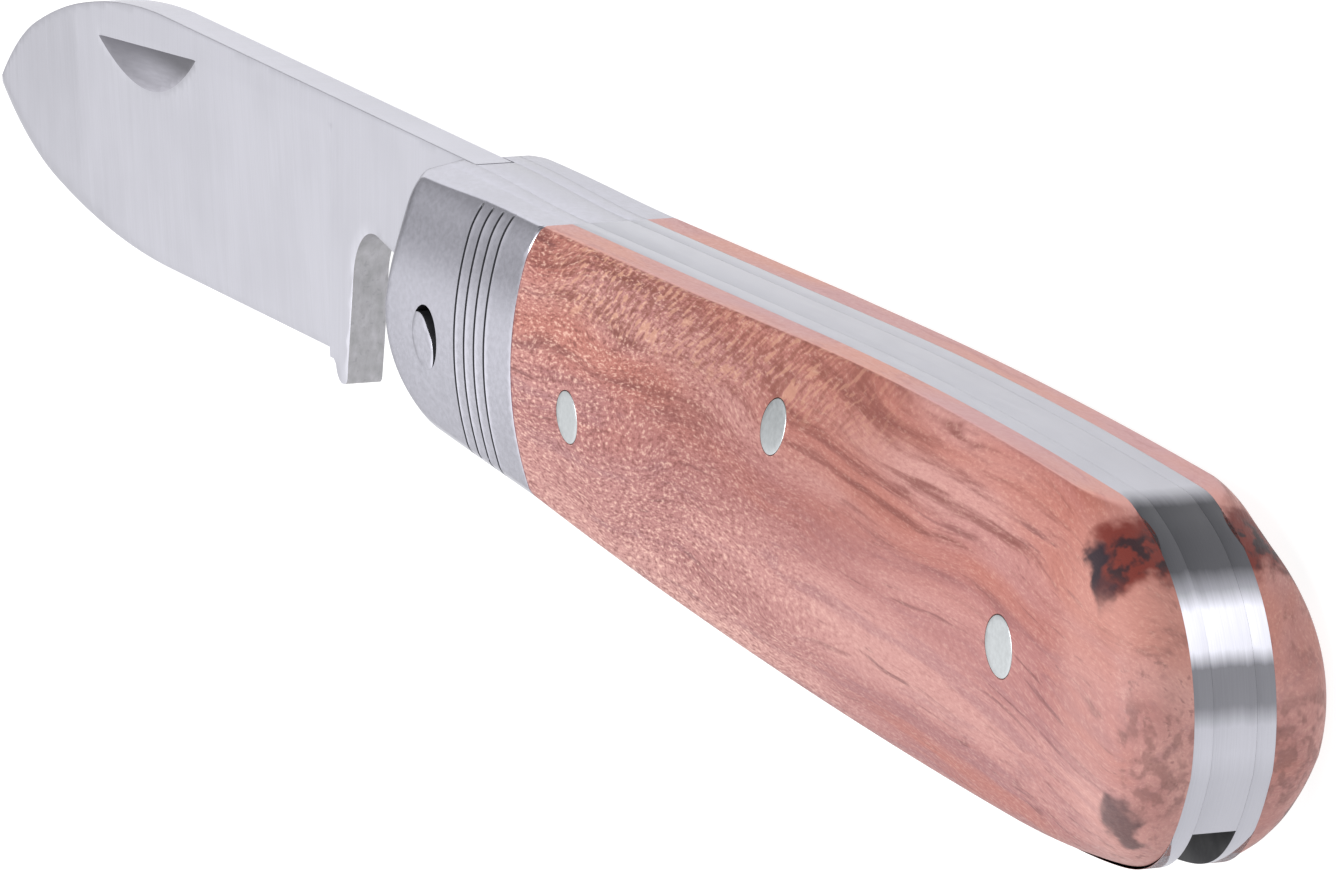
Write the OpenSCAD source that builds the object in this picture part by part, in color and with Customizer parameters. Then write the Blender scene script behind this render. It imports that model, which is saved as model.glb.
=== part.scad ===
// Folding slip-joint knife with a wide cable blade, steel bolsters and wooden scales.
// It lies on its right side. The pivot axis is the Z axis, the open blade points to -X, the
// back of the handle is towards +Y, and Z = 0 is the surface that it rests on.

/* [Handle] */
// Thickness of the handle, from flat to flat
handle_t = 12.3; // [11.9:0.1:12.8]
// Distance from the pivot to the straight back of the handle
back_y = 8.9; // [8.7:0.1:9.2]
// Distance from the pivot to the joint between bolster and wood
joint_x = 13.6; // [13:0.1:14.5]
// Distance from the pivot to the front of the bolsters
front_x = 7; // [6.5:0.1:7.5]
// Radius of the round butt
butt_r = 10.5; // [10.3:0.1:10.7]
// Distance from the pivot to the centre of the round butt
butt_x = 87.4; // [87:0.1:88.5]
// Radius of the crown across each side
crown_r = 22; // [20:0.5:25]
// Radius of the shoulder between each side and the back
shoulder_r = 5.3; // [5:0.1:5.6]

/* [Plates] */
// Thickness of each liner
liner_t = 1.1; // [1:0.05:1.2]
// Width of the slot between the liners, which is also the spring's thickness
slot_w = 2.5; // [2.45:0.05:2.6]

/* [Blade] */
// Thickness of the blade at its spine
blade_t = 2.4; // [2.2:0.05:2.4]
// Distance from the pivot to the tip
blade_reach = 92.6; // [91:0.1:92.6]
// Distance from the pivot's level down to the straight part of the edge
edge_drop = 6.65; // [6.4:0.05:6.7]
// Distance from the pivot's level up to the highest part of the spine
spine_rise = 10.2; // [10:0.05:10.4]
// Angle between open and shut
closing_angle = 174; // [173.5:0.1:174.5]
// Length of the nail nick
nick_l = 18.3; // [15:0.1:19]

/* [Pins] */
// Diameter of the pivot pin
pivot_d = 3.9; // [3.5:0.1:4]
// Diameter of the spring pin and of the short scale pins
pin_d = 3.1; // [2.8:0.1:3.2]
// Diameter of the rear pin
rear_pin_d = 3.4; // [3:0.1:3.5]
// Diameter of the rivets that hold the bolsters to the liners
rivet_d = 1.6; // [1.4:0.1:1.8]

/* [Grooves] */
// Distance between the engraved grooves of a bolster
groove_pitch = 1.55; // [1.4:0.05:1.6]
// Width of each groove
groove_w = 0.25; // [0.15:0.05:0.3]
// Depth of each groove
groove_depth = 0.15; // [0.1:0.05:0.2]

/* [Hidden] */
$fn = 64;

// Heights above the middle plane between the liners, and a length past every part
mid_z = handle_t / 2;
slot_z = slot_w / 2;
liner_z = slot_z + liner_t;
flat_depth = 0.05;
far = 120;

// The back rises a little over the bolsters, runs straight, and falls along a wide arc
hump_rise = 0.5;
back_bend_x = 50;
back_bend_r = 500;
back_end_x = 90;
butt_y = -3.2;
butt_from = -58;
butt_to = 74;
belly_start_y = -7.5;
belly_drop = 5.1;
belly_low_x = 86;
belly_power = 1.9;
front_top_r = 0.8;
front_bottom_r = 7;
front_bottom_y = -6.1;

// The crown's axis starts in the middle of the handle, and the shoulder runs along its back
crown_y = (back_y + belly_start_y) / 2;
crown_z = handle_t + flat_depth - crown_r;
bolster_fall = 0;
wood_fall = atan(belly_drop / 2 / (belly_low_x - joint_x));
shoulder_angle = 16.5;
shoulder_y = crown_y + (crown_r - shoulder_r) * sin(shoulder_angle);
shoulder_z = crown_z + (crown_r - shoulder_r) * cos(shoulder_angle);
shoulder_from_y = crown_y + crown_r * sin(shoulder_angle);

// Tang: the spring bears on one flat when the knife is open, and on the other when shut
tang_flat = 5.4;
tang_r = 6.4;
tang_corner = acos(tang_flat / tang_r);
shut_flat_l = 3.2;
tang_front_x = -4.4;
pivot_gap = 0.03;
shut_angle = 90 - closing_angle;

// Kick and notch of the blade, and the place where its flat grind ends
kick_start_x = -27.7;
kick_front = [-26.15, -6.75];
kick_front_r = 1.25;
kick_back = [-25.95, -7.4];
kick_back_r = 0.55;
notch_front = [-21, -1.2];
notch_back = [-15.8, -2.2];
notch_r = 3.5;
plunge_x = -29;
grind_top_y = 8;
edge_half_t = 0.15;
grind_angle = atan((blade_t / 2 - edge_half_t) / (grind_top_y + edge_drop));

// The spine bends into the nose, and the edge into the chin, each on a tangent arc
spine_bend = [33.8 - blade_reach, spine_rise];
spine_r = 75;
spine_turn = 19.6;
nose_r = 23;
edge_bend = [32.6 - blade_reach, -edge_drop];
edge_r = 100;
edge_turn = 12.5;
chin_r = 30.5;
tip_y = 0.5;

nick = [-61.4, 7.6];
nick_h = 2.8;
nick_depth = 0.7;
nick_turn = 3.5;
nick_r = nick_l ^ 2 / (8 * nick_depth);
nick_tilt = atan(nick_depth / nick_h);

// The spring's front end stops just short of the tang, and its inner side clears the shut blade
spring_gap = 0.06;
seat_gap = 0.02;
spring_inside = [
    [24, 5.52], [29, 5.12], [40, 3.4], [47, 2.1], [54, 2], [60, 1.3], [70, -0.5], [75.5, -1.9],
    [79, -2.9], [82, -4.1], [86, -6.2], [90, -8.4], [93, -9.6]
];
spring_end_y = -9.2;

// Places of the pins and rivets
spring_pin_at = [50.8, 4.1];
rear_pin_at = [82, -1.8];
scale_pin_at = [22.2, -0.7];
rivets_at = [[-3.2, 4.6], [10.6, -4]];
first_groove_x = 4.8;
groove_count = 4;

function polar(r, angle) = r * [cos(angle), sin(angle)];
function arc(centre, r, from, to, steps) =
    [for (i = [0:steps]) centre + polar(r, from + (to - from) * i / steps)];
function back_at(x) =
    x < back_bend_x ? back_y : back_y - back_bend_r + sqrt(back_bend_r ^ 2 - (x - back_bend_x) ^ 2);
function belly_at(x) =
    belly_start_y - belly_drop * (1 - (1 - (x - joint_x) / (belly_low_x - joint_x)) ^ belly_power);

// The steel end, from the joint round the front and back to the joint
function front_outline() = concat(
    [for (t = [0:0.125:1])
        [joint_x + t * (tang_front_x - joint_x), back_y + hump_rise * (1 - cos(180 * t)) / 2]],
    arc([front_top_r - front_x, back_y + hump_rise - front_top_r], front_top_r, 90, 180, 8),
    arc([front_bottom_r - front_x, front_bottom_r + front_bottom_y], front_bottom_r, 180, 262, 12),
    [[joint_x, belly_start_y]]
);

// The wooden end, from the joint along the belly, round the butt and along the back
function rear_outline() = concat(
    [for (i = [0:18]) let (x = joint_x + (belly_low_x - joint_x) * i / 18) [x, belly_at(x)]],
    arc([butt_x, butt_y], butt_r, butt_from, butt_to, 30),
    [for (i = [0:10]) let (x = back_end_x + (joint_x - back_end_x) * i / 10) [x, back_at(x)]]
);

// The spine and nose of the blade, from the tang to the tip
function spine_outline() = let (
        bend = spine_bend - [0, spine_r],
        nose = bend + polar(spine_r - nose_r, 90 + spine_turn)
    ) concat(
        [[tang_front_x, tang_flat], [tang_front_x, back_y + hump_rise]],
        arc(bend, spine_r, 90, 90 + spine_turn, 12),
        arc(nose, nose_r, 90 + spine_turn, 90 + acos((tip_y - nose[1]) / nose_r), 10)
    );

// The chin and edge of the blade, from the tip to the kick
function edge_outline() = let (
        bend = edge_bend + [0, edge_r],
        chin = bend + polar(edge_r - chin_r, 270 - edge_turn)
    ) concat(
        arc(chin, chin_r, 270 - acos((chin[1] - tip_y) / chin_r), 270 - edge_turn, 10),
        arc(bend, edge_r, 270 - edge_turn, 270, 10),
        [[kick_start_x, -edge_drop]]
    );

// The kick, the notch behind it and the tang
function tang_outline() = concat(
    arc(kick_front, kick_front_r, 190, 262, 8),
    arc(kick_back, kick_back_r, 272, 350, 6),
    arc(notch_front, notch_r, 172, 82, 12),
    arc(notch_back, notch_r, 72, 40, 4),
    [polar(tang_flat, shut_angle) + polar(shut_flat_l, shut_angle - 90)],
    arc([0, 0], tang_r, shut_angle + tang_corner, 90 - tang_corner, 24)
);

// Extrudes a drawing from one height above the middle plane to another
module plate(from, to) {
    translate([0, 0, mid_z + from])
        linear_extrude(to - from)
            children();
}

// Turns a piece of the left side into the matching piece of the right side
module on_right() {
    translate([0, 0, handle_t])
        mirror([0, 0, 1])
            children();
}

module handle_outline() {
    polygon(concat(front_outline(), rear_outline()));
}

module long_rod(r) {
    rotate([0, 90, 0])
        cylinder(h = 2 * far, r = r, center = true, $fn = 128);
}

// A long bar with the crown of the left side and its shoulder, set in by a depth. The crown
// runs straight over the bolster, and falls with the belly over the wood
module left_bar(fall, set_in = 0) {
    intersection() {
        translate([joint_x, crown_y, crown_z])
            rotate([0, 0, -fall])
                long_rod(crown_r - set_in);
        union() {
            translate([0, shoulder_y, shoulder_z])
                long_rod(shoulder_r - set_in);
            translate([-far, shoulder_from_y - far, 0])
                cube([2 * far, far, handle_t]);
            translate([-far, shoulder_y - far, 0])
                cube([2 * far, far + shoulder_r - set_in, shoulder_z]);
        }
    }
}

module pin(at, d, from, to) {
    translate([at[0], at[1], mid_z + from])
        cylinder(h = to - from, d = d);
}

// A pin of the left side that ends flush with the crown
module left_pin(at, d, fall) {
    intersection() {
        pin(at, d, slot_z, mid_z);
        left_bar(fall);
    }
}

// A pin through the whole handle, flush with the crown of both sides
module through_pin(at, d, fall) {
    intersection() {
        pin(at, d, -mid_z, mid_z);
        left_bar(fall);
        on_right() left_bar(fall);
    }
}

module hole(at, d) {
    pin(at, d, -far, far);
}

module through_holes() {
    hole([0, 0], pivot_d);
    hole(spring_pin_at, pin_d);
    hole(rear_pin_at, rear_pin_d);
}

module rivet_holes() {
    for (at = rivets_at) {
        hole(at, rivet_d);
    }
}

// The engraved grooves, which run down the crown
module grooves() {
    difference() {
        for (i = [0:groove_count - 1]) {
            translate([first_groove_x + i * groove_pitch - groove_w / 2, -far, mid_z + liner_z])
                cube([groove_w, 2 * far, mid_z]);
        }
        left_bar(bolster_fall, groove_depth);
    }
}

// Cuts the flat grind of the blade's left side, from the plunge forward
module grind_cut() {
    translate([plunge_x - far, grind_top_y, mid_z + blade_t / 2])
        rotate([grind_angle, 0, 0])
            translate([0, -far, 0])
                cube([far, far, blade_t]);
}

// The wheel that cuts the nick leaves a straight wall towards the spine
module nick_cut() {
    translate([nick[0], nick[1], mid_z + blade_t / 2 - nick_depth])
        rotate([90 - nick_tilt, 0, nick_turn])
            translate([0, nick_r, 0])
                cylinder(h = 2 * nick_h, r = nick_r, $fn = 256);
}

module blade() {
    color("gainsboro")
        difference() {
            plate(-blade_t / 2, blade_t / 2)
                polygon(concat(spine_outline(), edge_outline(), tang_outline()));
            hole([0, 0], pivot_d + 2 * pivot_gap);
            grind_cut();
            on_right() grind_cut();
            nick_cut();
        }
}

module back_spring() {
    seat_y = tang_flat + seat_gap;
    front = tang_front_x + spring_gap;
    color("lightgray")
        difference() {
            intersection() {
                plate(-slot_z, slot_z) handle_outline();
                plate(-slot_z, slot_z)
                    polygon(concat([[front, 2 * back_y], [front, seat_y]], spring_inside,
                        [[far, spring_end_y], [far, 2 * back_y]]));
            }
            hole(spring_pin_at, pin_d);
            hole(rear_pin_at, rear_pin_d);
        }
}

module left_side_liner() {
    difference() {
        plate(slot_z, liner_z) handle_outline();
        through_holes();
        hole(scale_pin_at, pin_d);
        rivet_holes();
    }
}

module left_liner() {
    color("silver") left_side_liner();
}

module right_liner() {
    color("silver") on_right() left_side_liner();
}

module left_side_bolster() {
    difference() {
        intersection() {
            plate(liner_z, mid_z) polygon(front_outline());
            left_bar(bolster_fall);
        }
        grooves();
        hole([0, 0], pivot_d);
        rivet_holes();
    }
}

module left_bolster() {
    color("gainsboro") left_side_bolster();
}

module right_bolster() {
    color("gainsboro") on_right() left_side_bolster();
}

module left_side_scale() {
    difference() {
        intersection() {
            plate(liner_z, mid_z) polygon(rear_outline());
            left_bar(wood_fall);
        }
        hole(spring_pin_at, pin_d);
        hole(rear_pin_at, rear_pin_d);
        hole(scale_pin_at, pin_d);
    }
}

module left_scale() {
    color("darksalmon") left_side_scale();
}

module right_scale() {
    color("darksalmon") on_right() left_side_scale();
}

module pivot_pin() {
    color("whitesmoke") through_pin([0, 0], pivot_d, bolster_fall);
}

module spring_pin() {
    color("whitesmoke") through_pin(spring_pin_at, pin_d, wood_fall);
}

module rear_pin() {
    color("whitesmoke") through_pin(rear_pin_at, rear_pin_d, wood_fall);
}

module left_scale_pin() {
    color("whitesmoke") left_pin(scale_pin_at, pin_d, wood_fall);
}

module right_scale_pin() {
    color("whitesmoke") on_right() left_pin(scale_pin_at, pin_d, wood_fall);
}

module left_side_rivets() {
    for (at = rivets_at) {
        left_pin(at, rivet_d, bolster_fall);
    }
}

module left_bolster_rivets() {
    color("gainsboro") left_side_rivets();
}

module right_bolster_rivets() {
    color("gainsboro") on_right() left_side_rivets();
}

blade();
back_spring();
left_liner();
right_liner();
left_bolster();
right_bolster();
left_scale();
right_scale();
pivot_pin();
spring_pin();
rear_pin();
left_scale_pin();
right_scale_pin();
left_bolster_rivets();
right_bolster_rivets();
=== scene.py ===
import math

import bmesh
import bpy
import numpy as np
from mathutils import Matrix, Vector
from mathutils.geometry import delaunay_2d_cdt
from mathutils.kdtree import KDTree

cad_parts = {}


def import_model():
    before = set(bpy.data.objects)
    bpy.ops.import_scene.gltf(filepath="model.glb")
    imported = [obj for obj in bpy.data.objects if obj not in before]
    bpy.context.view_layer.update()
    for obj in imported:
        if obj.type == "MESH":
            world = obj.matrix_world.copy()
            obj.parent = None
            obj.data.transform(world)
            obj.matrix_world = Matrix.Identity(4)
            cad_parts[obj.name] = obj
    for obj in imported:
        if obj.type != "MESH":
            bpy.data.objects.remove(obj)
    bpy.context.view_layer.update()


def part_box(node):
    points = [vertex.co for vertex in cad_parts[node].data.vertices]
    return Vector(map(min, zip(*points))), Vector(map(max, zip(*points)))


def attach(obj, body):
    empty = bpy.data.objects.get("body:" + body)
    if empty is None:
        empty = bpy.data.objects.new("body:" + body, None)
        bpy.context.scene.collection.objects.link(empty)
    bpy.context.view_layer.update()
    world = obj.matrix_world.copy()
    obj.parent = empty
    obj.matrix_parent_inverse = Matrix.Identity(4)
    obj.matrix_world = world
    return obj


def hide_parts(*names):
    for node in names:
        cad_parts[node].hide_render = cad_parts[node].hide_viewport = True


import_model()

MM = 0.001


def span(node):
    """Lowest and highest corner of a CAD node, in millimetres."""
    low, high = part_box(node)
    return np.array(low) / MM, np.array(high) / MM


# ---- Sizes from the frame ------------------------------------------------------------------
blade_low, blade_high = span("blade")
liner_low, liner_high = span("left_liner")
bolster_low, bolster_high = span("left_bolster")
scale_low, scale_high = span("left_scale")
MID = (blade_low[2] + blade_high[2]) / 2
BLADE_HALF = (blade_high[2] - blade_low[2]) / 2
SLOT_HALF = liner_low[2] - MID
LINER_TOP = liner_high[2] - MID
JOINT_X = scale_low[0]
FRONT_X = bolster_low[0]
BACK_Y = scale_high[1]
HUMP_Y = bolster_high[1]
SPRING_X = span("back_spring")[0][0]
TIP_X = blade_low[0]
SPINE_Y = blade_high[1]

# ---- Handle outline ------------------------------------------------------------------------
BACK_BEND_X, BACK_BEND_R = 50, 500
BELLY_START_Y, BELLY_DROP, BELLY_LOW_X, BELLY_POWER = -7.5, 5.1, 86, 1.9
BUTT_CENTRE, BUTT_R, BUTT_FROM, BUTT_TO = (87.4, -3.2), 10.5, -58, 74
LOW_EASE_X, LOW_EASE_Y, HIGH_EASE_X, HIGH_EASE_Y = (80, 84), -6, (88, 89), 3
HIGH_EASE, EASE_ROUNDS = 0.12, 60
FRONT_TOP_R, FRONT_BOTTOM_R, FRONT_BOTTOM_Y = 0.8, 7, -6.1
HUMP_FRONT_X = -4.4

# ---- Crown of the sides --------------------------------------------------------------------
CROWN_R, SHOULDER_R, SHOULDER_ANGLE = 22, 5.3, math.radians(16.5)
CROWN_Y = (BACK_Y + BELLY_START_Y) / 2
CROWN_Z = MID + 0.05 - CROWN_R
WOOD_FALL = math.atan(BELLY_DROP / 2 / (BELLY_LOW_X - JOINT_X))
SHOULDER_Y = CROWN_Y + (CROWN_R - SHOULDER_R) * math.sin(SHOULDER_ANGLE)
SHOULDER_Z = CROWN_Z + (CROWN_R - SHOULDER_R) * math.cos(SHOULDER_ANGLE)
SHOULDER_FROM_Y = CROWN_Y + CROWN_R * math.sin(SHOULDER_ANGLE)

# ---- Rounded edges -------------------------------------------------------------------------
CREASE_R, BELLY_EDGE_R, FRONT_EDGE_R, BUTT_EDGE_R = 0.22, 1.0, 2.3, 2.6
HIGH_EDGE_GROWS_X, LOW_EDGE_GROWS_X = (86, 93), (78, 95)
FRONT_EDGE_GROWS_X, FRONT_EDGE_GROWS_Y, FRONT_EDGE_LEAST = (-3.5, -6.5), (0, 7), 0.35
SEAM_W, SEAM_DEPTH, SEAM_SANDED, SEAM_SANDED_Y = 0.16, 0.07, 0.05, (6.5, 8.2)
STEEL_CHAMFER, CHAMFER_GROWS_Y, CHAMFER_LEAST = 0.06, (7, 7.8), 0.15
PLATE_EDGE_R, PIN_EDGE_R, PIVOT_EDGE_R, SPINE_EDGE_R, TANG_EDGE_R = 0.012, 0.04, 0.012, 0.07, 0.04
INSET_MOST = 6

# ---- Size of the triangles along X and Y ---------------------------------------------------
WOOD_MESH, BOLSTER_MESH, PLATE_MESH = (0.8, 0.55), (0.5, 0.45), (4, 3)
PIN_MESH, BLADE_MESH = (0.4, 0.35), (0.55, 0.5)
CHUNK = 1500

# ---- Steel ends: sloped top, grooves and the pivot's head ----------------------------------
TOP_SLOPE, TOP_SLOPE_END, TOP_SLOPE_FROM_Y, TOP_SLOPE_POWER, SLOPED_SIDE = 0.58, 4.1, 7.4, 1.6, 1
GROOVE_X, GROOVE_PITCH, GROOVES, GROOVE_TO_Y, GROOVE_FADE = 4.8, 1.55, 4, 8.6, 0.25
GROOVE_SHAPE = [(-0.18, 0), (-0.14, -0.24), (0.06, -0.24), (0.13, 0.012), (0.22, 0)]
PIVOT_HOLE_R, PIVOT_FIT = 1.95, 0.005
CRESCENT_FROM, CRESCENT_TO, CRESCENT_W, CRESCENT_SKEW = -60, 138, 1.12, 1.15
PIN_GAP, PIN_PROUD = 0.05, 0.01
ACROSS_FROM_Y, ACROSS_TO_Y = -8, 9.6

# ---- Inner contour of the back spring ------------------------------------------------------
SPRING_SEAT_Y, SPRING_END_Y, SPRING_GAP = 5.42, -9.15, 0.18
SPRING_INSIDE = [(24, 5.52), (29, 5.12), (40, 3.4), (47, 2.1), (54, 2), (60, 1.3), (70, -0.5), (75.5, -1.9),
                 (79, -2.84), (82, -4.02), (86, -6.1), (90, -8.3), (93, -9.55)]
SPRING_SOFT_FROM_X, SPRING_SOFT_TO_X = 45, 76

# ---- Outline and grind of the blade --------------------------------------------------------
EDGE_DROP = 6.65
SPINE_BEND_X, SPINE_R, SPINE_TURN, NOSE_R = -58.8, 75, 19.6, 23
EDGE_BEND_X, EDGE_R, EDGE_TURN, CHIN_R = -60.0, 100, 12.5, 30.5
TIP_Y = 0.5
KICK_START_X, KICK_FRONT, KICK_FRONT_R = -27.7, (-26.15, -6.75), 1.25
KICK_BACK, KICK_BACK_R = (-25.95, -7.4), 0.55
NOTCH_FRONT, NOTCH_BACK, NOTCH_R = (-21, -1.2), (-15.8, -2.2), 3.5
TANG_FLAT, TANG_R, SHUT_FLAT_L = 5.4, 6.4, 3.2
TANG_CORNER = math.degrees(math.acos(TANG_FLAT / TANG_R))
SHUT_ANGLE = 90 - 174
TANG_FRONT_X = -4.4
GRIND_FROM_X, GRIND_TOP_Y, EDGE_HALF, PRIMARY_EDGE_HALF = -70, 8.0, 0.04, 0.15
GRIND_SLOPE = (BLADE_HALF - PRIMARY_EDGE_HALF) / (GRIND_TOP_Y + EDGE_DROP)
EDGE_SLOPE, EDGE_BEVEL = 0.3, 0.45
TAPER_X, TAPER = -75.2, 0.62
PLUNGE_FROM_X, PLUNGE_TO_X = -28.43, -28.4
NICK, NICK_L, NICK_H, NICK_DEPTH, NICK_TURN = (-61.4, 7.6), 18.3, 2.8, 0.7, 3.5


def arc(centre, radius, start, end, step=0.4):
    """Points along part of a circle, from one angle to another in degrees."""
    count = max(4, int(abs(math.radians(end - start)) * radius / step) + 1)
    angle = np.radians(np.linspace(start, end, count + 1))
    return np.column_stack([centre[0] + radius * np.cos(angle), centre[1] + radius * np.sin(angle)])


def circle(centre, radius, count=56):
    angle = np.linspace(0, 2 * math.pi, count, endpoint=False)
    return np.column_stack([centre[0] + radius * np.cos(angle), centre[1] + radius * np.sin(angle)])


def smoothstep(low, high, value):
    t = np.clip((value - low) / (high - low), 0, 1)
    return t * t * (3 - 2 * t)


def join(*paths):
    """One line of points from several, without repeated points."""
    points = np.vstack(paths)
    keep = np.concatenate([[True], np.linalg.norm(np.diff(points, axis=0), axis=1) > 0.01])
    return points[keep]


def resample(path, step):
    """The same line with points at even distances."""
    length = np.concatenate([[0], np.cumsum(np.linalg.norm(np.diff(path, axis=0), axis=1))])
    at = np.linspace(0, length[-1], max(2, int(round(length[-1] / step)) + 1))
    return np.column_stack([np.interp(at, length, path[:, i]) for i in range(2)])


def relax(path, weight, rounds):
    """Rounds off a line of points where weight is above 0."""
    path = path.copy()
    for _ in range(rounds):
        middle = (path[:-2] + path[2:]) / 2
        path[1:-1] += weight[1:-1, None] * (middle - path[1:-1]) * 0.5
    return path


def back_at(x):
    """Height of the back: straight in front, then slightly bent down."""
    bent = BACK_Y - BACK_BEND_R + np.sqrt(BACK_BEND_R**2 - (x - BACK_BEND_X) ** 2)
    return np.where(x < BACK_BEND_X, BACK_Y, bent)


def belly_at(x):
    """Height of the belly, which falls from the joint towards the butt."""
    along = np.clip((x - JOINT_X) / (BELLY_LOW_X - JOINT_X), 0, 1)
    return BELLY_START_Y - BELLY_DROP * (1 - (1 - along) ** BELLY_POWER)


def rear_path():
    """Wooden end: from the joint along the belly, round the butt and along the back."""
    x = np.linspace(JOINT_X, BELLY_LOW_X, 180)
    butt = arc(BUTT_CENTRE, BUTT_R, BUTT_FROM, BUTT_TO)
    back_x = np.linspace(butt[-1][0], JOINT_X, 190)
    back = np.column_stack([back_x, back_at(back_x)])
    back[0] = butt[-1]
    path = resample(join(np.column_stack([x, belly_at(x)]), butt, back), 0.4)
    low_corner = smoothstep(*LOW_EASE_X, path[:, 0]) * (path[:, 1] < LOW_EASE_Y)
    high_corner = smoothstep(*HIGH_EASE_X, path[:, 0]) * (path[:, 1] > HIGH_EASE_Y)
    return relax(path, np.maximum(low_corner, HIGH_EASE * high_corner), EASE_ROUNDS)


def front_path():
    """Steel end: from the joint along the hump, down the front and back along the belly."""
    t = np.linspace(0, 1, 46)
    hump = np.column_stack([JOINT_X + t * (HUMP_FRONT_X - JOINT_X),
                            BACK_Y + (HUMP_Y - BACK_Y) * (1 - np.cos(math.pi * t)) / 2])
    top = arc((FRONT_X + FRONT_TOP_R, HUMP_Y - FRONT_TOP_R), FRONT_TOP_R, 90, 180, 0.15)
    centre = FRONT_X + FRONT_BOTTOM_R, FRONT_BOTTOM_Y + FRONT_BOTTOM_R
    bottom = arc(centre, FRONT_BOTTOM_R, 180, 262, 0.3)
    return resample(join(hump, top, bottom, [[JOINT_X, BELLY_START_Y]]), 0.3)


def crown(x, y, fall):
    """Height of a side above the middle plane: a wide crown with a tighter shoulder at the back."""
    across = ((y - CROWN_Y) + math.tan(fall) * (x - JOINT_X)) * math.cos(fall)
    side = CROWN_Z + np.sqrt(CROWN_R**2 - across**2)
    over = np.clip(y - SHOULDER_Y, 0, SHOULDER_R * 0.999)
    shoulder = SHOULDER_Z + np.sqrt(SHOULDER_R**2 - over**2)
    return np.where(y > SHOULDER_FROM_Y, np.minimum(side, shoulder), side)


def nearest(points, path):
    """Distance from each point to a line of points, and the place along it, counted in points."""
    start, step = path[:-1], np.diff(path, axis=0)
    square = (step**2).sum(1)
    distance, place = np.empty(len(points)), np.empty(len(points))
    for first in range(0, len(points), CHUNK):
        part = points[first:first + CHUNK]
        offset = part[:, None] - start[None]
        t = np.clip((offset * step).sum(2) / square, 0, 1)
        gap = np.linalg.norm(offset - t[..., None] * step, axis=2)
        best = gap.argmin(1)
        rows = np.arange(len(part))
        distance[first:first + CHUNK] = gap[rows, best]
        place[first:first + CHUNK] = best + t[rows, best]
    return distance, place


def rounding(distance, radius):
    """How far a rounded edge has dropped at a distance in from the outline."""
    u = np.clip(1 - distance / radius, 0, 1)
    return radius * (1 - np.sqrt(1 - u * u))


class Rim:
    """An outline with a rounded edge whose radius changes along it. Its inside is on the left."""

    def __init__(self, path, radius, closed=False):
        self.path, self.radius, self.closed = path, radius, closed

    def drop(self, points):
        path = np.vstack([self.path, self.path[:1]]) if self.closed else self.path
        radius = np.append(self.radius, self.radius[0]) if self.closed else self.radius
        distance, place = nearest(points, path)
        return rounding(distance, np.interp(place, np.arange(len(path)), radius))

    def rings(self, steps=8):
        """Lines that follow the edge inwards, closer together where it is steeper."""
        if self.closed:
            along = np.roll(self.path, -1, 0) - np.roll(self.path, 1, 0)
        else:
            along = np.gradient(self.path, axis=0)
            along[[0, -1]] = [[1, 0], [-1, 0]] if self.path[0][1] < self.path[-1][1] else [[-1, 0], [1, 0]]
        along /= np.linalg.norm(along, axis=1)[:, None]
        inwards = np.column_stack([-along[:, 1], along[:, 0]])
        turns = np.linspace(0, math.pi / 2, steps + 1)[1:]
        lines = [self.path + inwards * (self.radius * (1 - math.cos(t)))[:, None] for t in turns]
        return [np.vstack([line, line[:1]]) for line in lines] if self.closed else lines


def inside(points, loops):
    """Which points lie inside an odd number of closed loops."""
    count = np.zeros(len(points), int)
    for loop in loops:
        a, b = np.asarray(loop), np.roll(loop, -1, axis=0)
        for first in range(0, len(points), CHUNK):
            x, y = points[first:first + CHUNK, :1], points[first:first + CHUNK, 1:]
            spans = (a[:, 1] > y) != (b[:, 1] > y)
            rise = np.where(b[:, 1] == a[:, 1], 1, b[:, 1] - a[:, 1])
            cross = a[:, 0] + (y - a[:, 1]) / rise * (b[:, 0] - a[:, 0])
            count[first:first + CHUNK] += (spans & (x < cross)).sum(1)
    return count % 2 == 1


def triangulate(loops, lines, spacing):
    """Triangles of even size between closed loops, with every given line as an edge."""
    points, edges = [], []
    for line, closed in [(loop, True) for loop in loops] + [(line, False) for line in lines]:
        first = len(points)
        points.extend(np.asarray(line, float))
        edges.extend((first + i, first + i + 1) for i in range(len(line) - 1))
        if closed:
            edges.append((len(points) - 1, first))
    tree = KDTree(len(points))
    for i, p in enumerate(points):
        tree.insert((p[0], p[1], 0), i)
    tree.balance()
    low, high = np.min(loops[0], axis=0), np.max(loops[0], axis=0)
    dx, dy = spacing
    rows, columns = np.arange(low[1] + dy / 2, high[1], dy), np.arange(low[0], high[0], dx)
    grid = np.array([(x + (k % 2) * dx / 2, y) for k, y in enumerate(rows) for x in columns])
    grid = grid[inside(grid, loops)]
    clear = 0.45 * min(dx, dy)
    points.extend(p for p in grid if tree.find((p[0], p[1], 0))[2] > clear)
    found = delaunay_2d_cdt([Vector(p) for p in points], edges, [], 0, 1e-6)
    flat = np.array([tuple(v) for v in found[0]])
    faces = np.array([f for f in found[2] if len(f) == 3])
    faces = faces[inside(flat[faces].mean(1), loops)]
    used = np.unique(faces)
    index = np.full(len(flat), -1)
    index[used] = np.arange(len(used))
    return flat[used], index[faces]


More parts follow.
